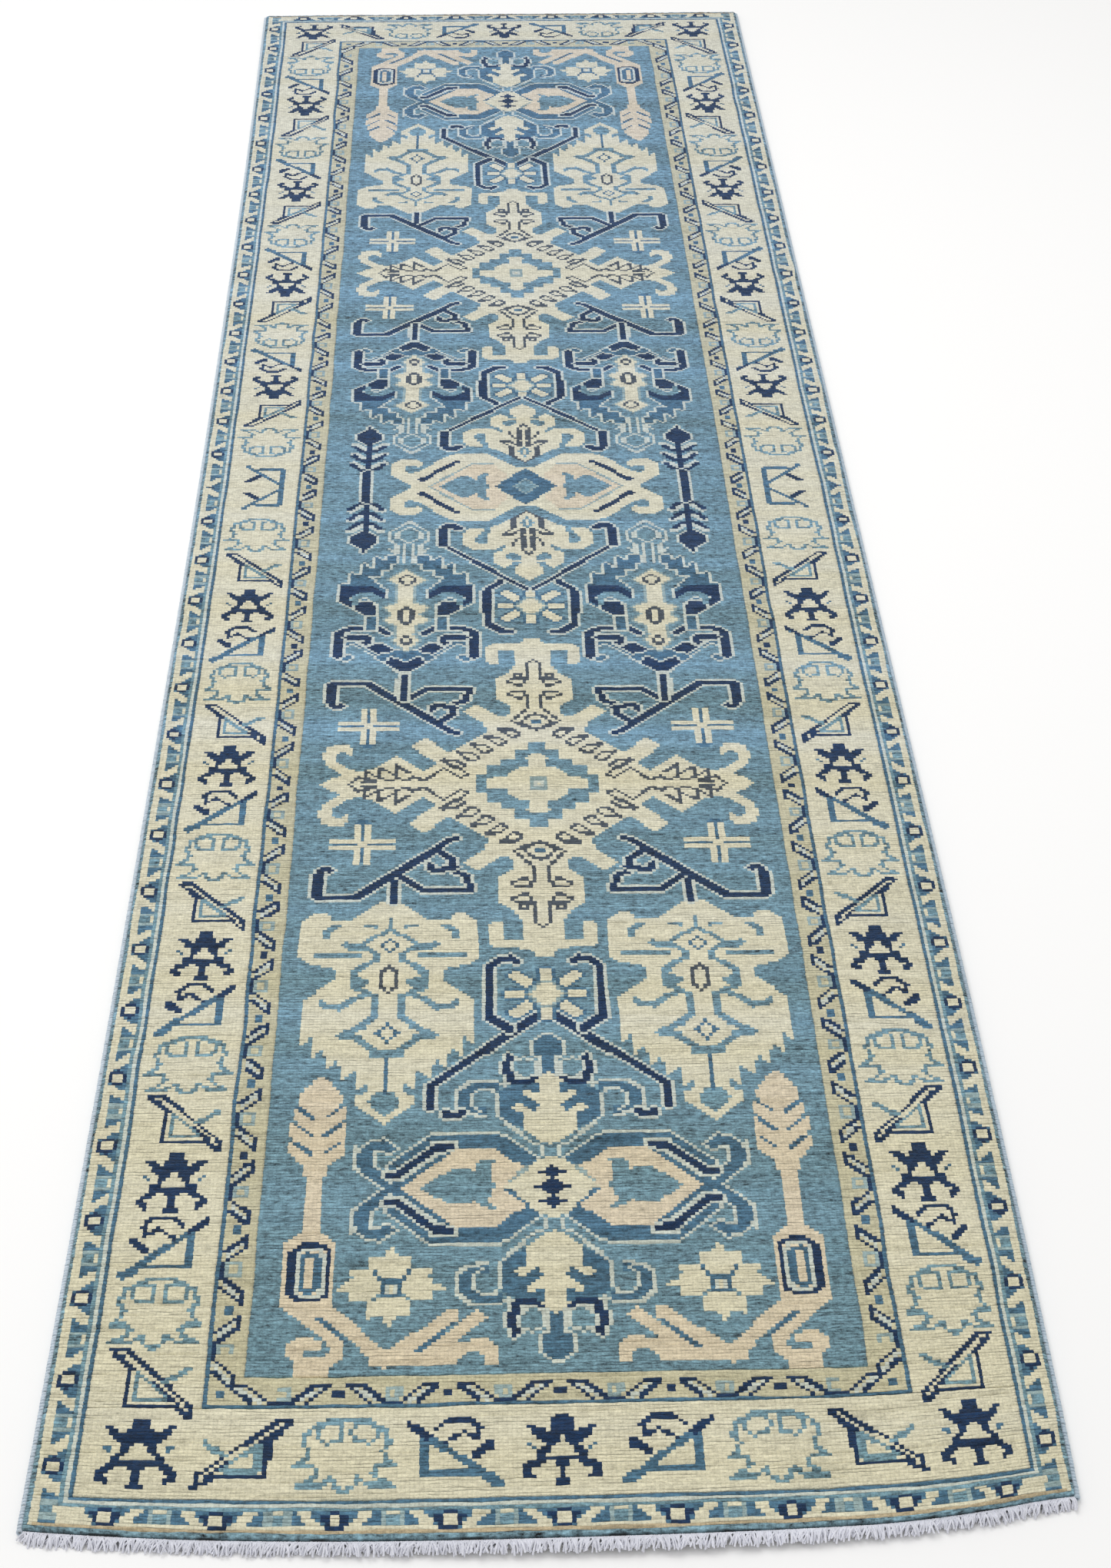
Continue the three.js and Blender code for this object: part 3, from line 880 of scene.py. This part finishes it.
# A material with a Principled shader: its even values are set on the shader's own sockets.
class Finish(Web):
    def __init__(self, name, **values):
        self.material = bpy.data.materials.new(name)
        self.material.use_nodes = True
        super().__init__(self.material.node_tree)
        self.shader = self.tree.nodes["Principled BSDF"]
        for socket, value in values.items():
            self.shader.inputs[socket.replace("_", " ")].default_value = value

    def feed(self, socket, signal):
        self.tree.links.new(signal.socket, self.shader.inputs[socket])

    def bump(self, height, strength, depth):
        return self.add("ShaderNodeBump", {}, dict(Height=height, Strength=strength, Distance=depth))


# Each dye, and how unevenly the wool took it.
dyes = dict(
    sky=((113, 147, 168), 0.3), denim=((74, 112, 142), 0.26), navy=((16, 47, 86), 0.24),
    slate=((74, 82, 94), 0.2), cream=((224, 219, 200), 0.06), sand=((222, 209, 190), 0.07),
    white=((205, 212, 210), 0.08), pale=((152, 174, 182), 0.16), teal=((114, 148, 167), 0.3),
    camel=((190, 174, 148), 0.12),
    straw=((203, 198, 174), 0.08), edge=((112, 142, 160), 0.5),
)
# Besides the wool's own unevenness, these set painted shade in the furrows and between knots, and a painted
# sheen towards the far end.
woolLook = dict(
    bands=2.4, rows=3.4, streaks=8, knots=0.09, fibres=2.4, furrow=0.72, furrowShade=0.18, bump=0.7, depth=0.001,
    paintedSheenMix=0.06, paintedSheenColour=(115, 150, 190), paintedSheenSpan=(-1.5, 1.0),
    warmer=(1.02, 1.0, 0.87, 1), cooler=(0.96, 0.99, 1.02, 1),
)
woolSheen = dict(Roughness=0.95, Sheen_Weight=0.12, Sheen_Roughness=0.5, Sheen_Tint=(0.8, 0.92, 1, 1))


# Hand-dyed wool. Its shade drifts in bands from dye lot to dye lot and runs in streaks along the rows.
# Painted shade darkens every furrow, more where a dark weft shows, and the seams between knots; a painted
# sheen makes the far end lighter, cooler and a little bluer, so the near end looks warmer.
def wool(yarn):
    colour, uneven = dyes[yarn]
    finish = Finish(f"{yarn}_wool", **woolSheen)
    knotMap = finish.add("ShaderNodeUVMap", dict(uv_map="knots"))
    column = finish.add("ShaderNodeSeparateXYZ", {}, dict(Vector=knotMap))
    row = column.other("Y")
    wholeRow = row.maths("FLOOR", row)
    bands = finish.noise(row + column * 0.04, 0.045, 2.0, "1D")
    rowPlace = finish.add("ShaderNodeCombineXYZ", {}, dict(X=column * 0.06, Y=wholeRow * 0.9))
    rows = finish.noise(rowPlace, 1.0, 1.0)
    streakPlace = finish.add("ShaderNodeCombineXYZ", {}, dict(X=column * 0.5, Y=row * 2.0))
    streaks = finish.noise(streakPlace, 1.0, 3.0)
    knotCell = finish.add("ShaderNodeVectorMath", dict(operation="FLOOR"), {0: knotMap})
    knotShade = finish.add("ShaderNodeTexWhiteNoise", dict(noise_dimensions="2D"), dict(Vector=knotCell))
    acrossKnot = abs(column.maths("FRACT", column) - 0.5) * 2
    alongKnot = abs(row.maths("FRACT", row) - 0.5) * 2
    body = finish.add("ShaderNodeTexCoord", output="Object")
    fibres = finish.noise(body, 700.0, 3.0)
    shade = 1 + (bands - 0.5) * (woolLook["bands"] * uneven) + (rows - 0.5) * (woolLook["rows"] * uneven)
    shade = shade + (streaks - 0.5) * (0.4 + woolLook["streaks"] * uneven)
    shade = shade + (knotShade - 0.5) * (woolLook["knots"] + uneven * 0.5)
    shade = shade + (fibres - 0.5) * (0.5 + woolLook["fibres"] * uneven)
    # Painted shade in the furrows between rows of knots, deeper where a dark weft shows.
    nearestFurrow = row.maths("ROUND", row)
    furrowPlace = finish.add("ShaderNodeCombineXYZ", {}, dict(X=column * 0.09, Y=nearestFurrow * 3.7))
    weft = finish.noise(furrowPlace, 1.0, 2.0).clamped(0.48, 0.6)
    furrowShadeAndWeft = weft * woolLook["furrow"] + woolLook["furrowShade"]
    # Painted shade at the seams between knot columns, and in the furrows together with their weft.
    shade = shade * (1 - acrossKnot**4 * 0.1) * (1 - alongKnot**6 * furrowShadeAndWeft)
    # A painted sheen: towards the far end the wool is painted a little lighter, cooler and bluer, mixed in
    # tint with the dye-lot drift.
    alongBody = finish.add("ShaderNodeSeparateXYZ", {}, dict(Vector=body), "Y")
    farEndSheen = alongBody.clamped(*woolLook["paintedSheenSpan"])
    shade = shade * (1.02 + farEndSheen * 0.02)
    dye = linear(colour)
    warmer = tuple(part * tint for part, tint in zip(dye, woolLook["warmer"]))
    cooler = tuple(part * tint for part, tint in zip(dye, woolLook["cooler"]))
    lotAndSheenTone = farEndSheen + (bands - 0.5) * 1.5
    lotAndSheenTint = finish.mix(lotAndSheenTone, warmer, cooler)
    withPaintedSheen = finish.mix(farEndSheen * woolLook["paintedSheenMix"], lotAndSheenTint, linear(woolLook["paintedSheenColour"]))
    finish.feed("Base Color", finish.scaled(withPaintedSheen, shade))
    tuft = 1 - acrossKnot**3 * 0.3 - alongKnot**3 * 0.5 + fibres * 1.6 + streaks * 0.6
    finish.feed("Normal", finish.bump(tuft, woolLook["bump"], woolLook["depth"]))
    return finish.material


wools = [wool(yarn) for yarn in yarns]

# The pile, in blocks that meet where one border ends and the next begins.
print("pile")
fieldColumnsAt = (bordersWidth, columnCount - bordersWidth)
fieldRowsAt = (bordersWidth, rowCount - bordersWidth)
third = (fieldRowsAt[1] - fieldRowsAt[0]) // 3
for step, part in enumerate(("near", "middle", "far")):
    first = fieldRowsAt[0] + step * third
    last = fieldRowsAt[1] if part == "far" else first + third
    piece = pileBlock(f"field_pile_{part}_third", "field_pile", "field_wool", *fieldColumnsAt, first, last)
for border, slot, begin, width in (
    ("inner_guard_pile", "guard_wool", guard["main"] + guard["outer"], guard["inner"]),
    ("main_border_pile", "border_wool", guard["outer"], guard["main"]),
    ("outer_guard_pile", "guard_wool", 0, guard["outer"]),
):
    inside = begin + width
    lastColumn, lastRow = columnCount - begin, rowCount - begin
    for side, block in dict(
        near=(begin, lastColumn, begin, inside),
        far=(begin, lastColumn, lastRow - width, lastRow),
        left=(begin, inside, inside, rowCount - inside),
        right=(lastColumn - width, lastColumn, inside, rowCount - inside),
    ).items():
        node = f"{border}_{side}"
        pileBlock(f"woven_{node}", node, slot, *block)

# The cotton ground weave under the pile.
weave = dict(top=2.9, bottom=0.15, columns=60, rows=240, thread=0.0034)
print("ground weave")


def slabPiece(name, xs, ys, low, high, material):
    gridX, gridY = np.meshgrid(xs, ys)
    upper = np.stack(lay(gridX, gridY, np.full(gridX.shape, high)), axis=-1)
    lower = np.stack(lay(gridX, gridY, np.full(gridX.shape, low)), axis=-1)
    over = np.arange(gridX.size).reshape(gridX.shape)
    under = over + gridX.size
    faces = [squares(over), squares(under)[:, facingDown]]
    faces.append(np.stack([over[:-1, 0], over[1:, 0], under[1:, 0], under[:-1, 0]], axis=-1))
    faces.append(np.stack([over[1:, -1], over[:-1, -1], under[:-1, -1], under[1:, -1]], axis=-1))
    faces.append(np.stack([over[0, 1:], over[0, :-1], under[0, :-1], under[0, 1:]], axis=-1))
    faces.append(np.stack([over[-1, :-1], over[-1, 1:], under[-1, 1:], under[-1, :-1]], axis=-1))
    corners = np.concatenate(faces)
    points = np.concatenate([upper.reshape(-1, 3), lower.reshape(-1, 3)])
    isTop = np.arange(len(corners)) < 2 * (len(xs) - 1) * (len(ys) - 1)
    return newPiece(name, points, [4] * len(corners), corners.ravel(), [material], 0, isTop)


def cotton(name, colour, thread, twist=0.0):
    finish = Finish(name, Roughness=0.88, Sheen_Weight=0.2, Sheen_Roughness=0.5)
    body = finish.add("ShaderNodeTexCoord", output="Object")
    across = finish.add("ShaderNodeSeparateXYZ", {}, dict(Vector=body))
    warps = across * (2 * math.pi / thread)
    wefts = across.other("Y") * (2 * math.pi / thread) + across * twist
    warps, wefts = warps.maths("SINE", warps), wefts.maths("SINE", wefts)
    fluff = finish.noise(body, 600.0, 3.0)
    patches = finish.noise(body, 9.0, 2.0)
    crossing = warps * wefts * 0.5 + 0.5
    shade = 0.8 + crossing * 0.12 + (fluff - 0.5) * 0.25 + (patches - 0.5) * 0.2
    finish.feed("Base Color", finish.scaled(linear(colour), shade))
    finish.feed("Normal", finish.bump(crossing + fluff * 0.6, 0.7, 0.0006))
    return finish.material


weaveXs = np.linspace(-halfWidth, halfWidth, weave["columns"] + 1)
weaveYs = np.linspace(-halfLength, halfLength, weave["rows"] + 1)
groundCotton = cotton("ground_cotton", (205, 200, 190), weave["thread"])
groundWeave = slabPiece("woven_ground", weaveXs, weaveYs, weave["bottom"], weave["top"], groundCotton)
fasten(groundWeave, "ground_weave")

# The webs past the last knots: twined rows of weft, ridged over the warps.
web = dict(start=0.3, length=4.5, ridge=0.7, lines=3, thread=0.0024, twist=900.0)
endPieces = []
webCotton = cotton("web_cotton", (188, 190, 190), web["thread"], web["twist"])
webXs = np.linspace(-halfWidth, halfWidth, 2 * columnCount + 1)
for side, name in ((-1, "near"), (1, "far")):
    start = halfLength + web["start"]
    ys = np.linspace(start, start + web["length"], 2 * web["lines"] + 1)
    ys = -ys[::-1] if side < 0 else ys
    piece = slabPiece(f"twined_web_{name}", webXs, ys, weave["bottom"], weave["top"], webCotton)
    for vertex in piece.data.vertices[:len(webXs) * len(ys)]:
        line, column = divmod(vertex.index, len(webXs))
        if line % 2 == 0 or column % 2:
            vertex.co.z -= web["ridge"] * millimetre
    endPieces.append(fasten(piece, f"end_web_{name}"))


# A path on the rug as drawn, as one curve with straight steps.
def pathPiece(name, points):
    curve = bpy.data.curves.new(name, "CURVE")
    curve.dimensions = "3D"
    spline = curve.splines.new("POLY")
    spline.points.add(len(points) - 1)
    laid = np.stack(lay(*np.array(points, float).T), axis=-1) * millimetre
    spline.points.foreach_set("co", np.column_stack([laid, np.ones(len(laid))]).ravel())
    piece = bpy.data.objects.new(name, curve)
    bpy.context.scene.collection.objects.link(piece)
    return piece


# A node group for a modifier, with its inputs named and in the order given.
class Recipe(Web):
    def __init__(self, name, inputs):
        super().__init__(bpy.data.node_groups.new(name, "GeometryNodeTree"))
        self.tree.interface.new_socket("Geometry", in_out="INPUT", socket_type="NodeSocketGeometry")
        for label, kind in inputs.items():
            self.tree.interface.new_socket(label, in_out="INPUT", socket_type=f"NodeSocket{kind}")
        self.tree.interface.new_socket("Geometry", in_out="OUTPUT", socket_type="NodeSocketGeometry")
        self.given = self.tree.nodes.new("NodeGroupInput")

    def input(self, label):
        return Signal(self, self.given.outputs[label])

    def pointsAlong(self, path, mode, **spacing):
        return self.add("GeometryNodeCurveToPoints", dict(mode=mode), dict(Curve=path, **spacing))

    def circle(self, corners, radius):
        return self.add("GeometryNodeCurvePrimitiveCircle", {}, dict(Resolution=corners, Radius=radius))

    # A random vector, each of its parts between those of two others.
    def between(self, low, high, seed):
        sockets = {0: low, 1: high, "Seed": seed}
        return self.add("FunctionNodeRandomValue", dict(data_type="FLOAT_VECTOR"), sockets)

    def placed(self, points, instance, rotation, size):
        sockets = dict(Points=points, Instance=instance, Rotation=rotation, Scale=size)
        return self.add("GeometryNodeInstanceOnPoints", {}, sockets)

    def result(self, mesh, material):
        joined = self.add("GeometryNodeRealizeInstances", {}, dict(Geometry=mesh))
        smooth = self.add("GeometryNodeSetShadeSmooth", {}, dict(Geometry=joined))
        painted = self.add("GeometryNodeSetMaterial", {}, dict(Geometry=smooth, Material=material))
        end = self.tree.nodes.new("NodeGroupOutput")
        self.tree.links.new(painted.socket, end.inputs["Geometry"])

    # Runs the group on an object with these values, and gives back a plain mesh object.
    def make(self, name, base, values):
        modifier = base.modifiers.new(name, "NODES")
        modifier.node_group = self.tree
        for item in self.tree.interface.items_tree:
            if item.item_type == "SOCKET" and item.in_out == "INPUT" and item.name in values:
                modifier[item.identifier] = values[item.name]
        bpy.context.view_layer.update()
        evaluated = base.evaluated_get(bpy.context.evaluated_depsgraph_get())
        mesh = bpy.data.meshes.new_from_object(evaluated)
        mesh.name = name
        base.modifiers.clear()
        bpy.data.objects.remove(base)
        piece = bpy.data.objects.new(name, mesh)
        bpy.context.scene.collection.objects.link(piece)
        return piece


# The overcast edge: one yarn wound round the cord, turn beside turn, and flattened against it.
yarnFlatness = 0.55


def overcastRecipe():
    recipe = Recipe("overcast", dict(
        Pitch="Float", Radius="Float", Yarn="Float", Slant="Float", Seed="Int", Wool="Material",
    ))
    path, seed, yarn = recipe.input("Geometry"), recipe.input("Seed"), recipe.input("Yarn")
    turns = recipe.pointsAlong(path, "LENGTH", Length=recipe.input("Pitch"))
    ring = recipe.circle(12, recipe.input("Radius") - yarn * yarnFlatness)
    section = recipe.add("GeometryNodeTransform", {}, dict(
        Geometry=recipe.circle(6, yarn), Scale=(yarnFlatness, 1.0, 1.0),
    ))
    turn = recipe.add("GeometryNodeCurveToMesh", {}, {"Curve": ring, "Profile Curve": section})
    wobble = recipe.between((-0.08, -0.06, -3.0), (0.08, 0.06, 3.0), seed)
    tilt = recipe.add("ShaderNodeCombineXYZ", {}, dict(X=recipe.input("Slant")))
    tilt = recipe.add("ShaderNodeVectorMath", dict(operation="ADD"), {0: tilt, 1: wobble})
    tilt = recipe.add("FunctionNodeEulerToRotation", {}, dict(Euler=tilt))
    aim = recipe.add("FunctionNodeRotateRotation", dict(rotation_space="LOCAL"), {
        "Rotation": turns.other("Rotation"), "Rotate By": tilt,
    })
    sockets = {2: 0.93, 3: 1.04, "Seed": seed + 5}
    size = recipe.add("FunctionNodeRandomValue", dict(data_type="FLOAT"), sockets, output=1)
    size = recipe.add("ShaderNodeCombineXYZ", {}, dict(X=size, Y=size, Z=1.0))
    recipe.result(recipe.placed(turns, turn, aim, size), recipe.input("Wool"))
    return recipe


selvedge = dict(diameter=5.8, core=3.4, offset=1.7, pitch=3.0, yarn=1.7, slant=0.3, steps=240)
edgeDyes = dict(left=(196, 208, 218), right=(184, 200, 212))
overcast = overcastRecipe()
alongRug = np.linspace(-halfLength, halfLength, selvedge["steps"] + 1)


def spunWool(name, colour):
    finish = Finish(name, Roughness=0.9, Sheen_Weight=0.2, Sheen_Roughness=0.5)
    body = finish.add("ShaderNodeTexCoord", output="Object")
    fibres = finish.noise(body, 1100.0, 3.0)
    lots = finish.noise(body, 5.0, 3.0)
    turns = finish.noise(body, 240.0, 1.0)
    shade = 1 + (fibres - 0.5) * 0.35 + (lots - 0.5) * 0.3 + (turns - 0.5) * 0.4
    finish.feed("Base Color", finish.scaled(linear(colour), shade))
    finish.feed("Normal", finish.bump(fibres, 0.6, 0.0006))
    return finish.material


# A plain round tube along a path, closed at both ends.
def tube(name, points, radius, sides, material):
    laid = np.stack(lay(*np.array(points, float).T), axis=-1)
    angles = np.arange(sides) * 2 * math.pi / sides
    ring = np.stack([np.cos(angles), np.zeros(sides), np.sin(angles)], axis=-1) * radius
    rings = (laid[:, None] + ring[None]).reshape(-1, 3)
    corner = np.arange(len(laid) * sides).reshape(len(laid), sides)
    after = np.roll(corner, -1, axis=1)
    quads = np.stack([corner[:-1], corner[1:], after[1:], after[:-1]], axis=-1).reshape(-1, 4)
    sizes = [4] * len(quads) + [sides, sides]
    corners = np.concatenate([quads.ravel(), corner[0], corner[-1][::-1]])
    return newPiece(name, rings, sizes, corners, [material])


print("overcast edges")
for side, name in ((-1, "left"), (1, "right")):
    centre = side * (halfWidth + selvedge["offset"])
    path = [(centre, y, selvedge["diameter"] / 2) for y in alongRug]
    core = tube(f"bundled_core_{name}", path, selvedge["core"] / 2, 10, groundCotton)
    fasten(core, f"selvedge_core_{name}")
    wound = overcast.make(
        f"wound_overcast_{name}",
        pathPiece(f"edge_path_{name}", path),
        dict(
            Pitch=selvedge["pitch"] * millimetre, Radius=selvedge["diameter"] / 2 * millimetre,
            Yarn=selvedge["yarn"] * millimetre, Slant=selvedge["slant"] * side, Seed=7 + side,
            Wool=spunWool(f"{name}_edge_wool", edgeDyes[name]),
        ),
    )
    fasten(wound, f"selvedge_overcast_{name}")
    endPieces += [core, wound]


# The cut fringe: short warp ends, lying every way.
def fringeRecipe():
    recipe = Recipe("fringe", dict(
        Count="Int", Length="Float", Thread="Float", Away="Float", Seed="Int", Cotton="Material",
    ))
    path, length, seed = recipe.input("Geometry"), recipe.input("Length"), recipe.input("Seed")
    roots = recipe.pointsAlong(path, "COUNT", Count=recipe.input("Count"))
    droop = recipe.add("ShaderNodeCombineXYZ", {}, dict(Y=length * 0.6, Z=length * 0.12))
    tip = recipe.add("ShaderNodeCombineXYZ", {}, dict(X=length * 0.12, Y=length, Z=length * -0.5))
    line = recipe.add("GeometryNodeCurveQuadraticBezier", {}, dict(
        Resolution=6, Start=(0.0, 0.0, 0.0), Middle=droop, End=tip,
    ))
    strand = recipe.add("GeometryNodeCurveToMesh", {}, {
        "Curve": line, "Profile Curve": recipe.circle(5, recipe.input("Thread")), "Fill Caps": True,
    })
    turn = recipe.between((-0.15, 0.0, -1.0), (0.2, 0.0, 0.8), seed)
    facing = recipe.add("ShaderNodeCombineXYZ", {}, dict(Z=recipe.input("Away")))
    turn = recipe.add("ShaderNodeVectorMath", dict(operation="ADD"), {0: turn, 1: facing})
    turn = recipe.add("FunctionNodeEulerToRotation", {}, dict(Euler=turn))
    size = recipe.between((0.7, 0.6, 0.7), (1.25, 1.25, 1.2), seed + 3)
    recipe.result(recipe.placed(roots, strand, turn, size), recipe.input("Cotton"))
    return recipe


fringe = dict(count=1500, length=8.6, thread=0.75, root=4.6, start=1.2, lowest=0.0002)
fringeMaker = fringeRecipe()
fringeCotton = spunWool("fringe_cotton", (228, 229, 238))
print("fringes")
for side, name in ((-1, "near"), (1, "far")):
    rootY = side * (halfLength + fringe["start"])
    path = [(x, rootY, fringe["root"]) for x in np.linspace(-halfWidth + 1, halfWidth - 1, 120)]
    piece = fringeMaker.make(
        f"cut_fringe_{name}",
        pathPiece(f"fringe_path_{name}", path),
        dict(
            Count=fringe["count"], Length=fringe["length"] * millimetre,
            Thread=fringe["thread"] * millimetre, Away=math.pi if side < 0 else 0.0,
            Seed=20 + side, Cotton=fringeCotton,
        ),
    )
    points = np.empty(len(piece.data.vertices) * 3, np.float32)
    piece.data.vertices.foreach_get("co", points)
    points[2::3] = np.maximum(points[2::3], fringe["lowest"])
    piece.data.vertices.foreach_set("co", points)
    endPieces.append(fasten(piece, f"fringe_{name}"))

# A plain pale floor and soft studio light.
print("floor and light")
studio = dict(floor=8.0, ambient=0.72, key=60.0, keyAt=(-1.1, 0.4, 3.4), keySize=3.0)
floorMesh = bpy.data.meshes.new("floor")
reach = studio["floor"]
floorCorners = [(-reach, -reach, 0), (reach, -reach, 0), (reach, reach, 0), (-reach, reach, 0)]
floorMesh.from_pydata(floorCorners, [], [(0, 1, 2, 3)])
floor = bpy.data.objects.new("floor", floorMesh)
floorFinish = Finish("floor_paint", Roughness=0.9, Base_Color=(0.97, 0.965, 0.955, 1))
floorMesh.materials.append(floorFinish.material)
bpy.context.scene.collection.objects.link(floor)
lampData = bpy.data.lights.new("softbox", "AREA")
lampData.size = studio["keySize"]
lampData.energy = studio["key"]
lamp = bpy.data.objects.new("softbox", lampData)
lamp.location = studio["keyAt"]
lamp.rotation_euler = (-Vector(studio["keyAt"])).to_track_quat("-Z", "Y").to_euler()
bpy.context.scene.collection.objects.link(lamp)
world = bpy.data.worlds.new("studio")
world.use_nodes = True
world.node_tree.nodes["Background"].inputs["Color"].default_value = (1, 1, 1, 1)
world.node_tree.nodes["Background"].inputs["Strength"].default_value = studio["ambient"]
bpy.context.scene.world = world
bpy.context.scene.view_settings.view_transform = "Standard"
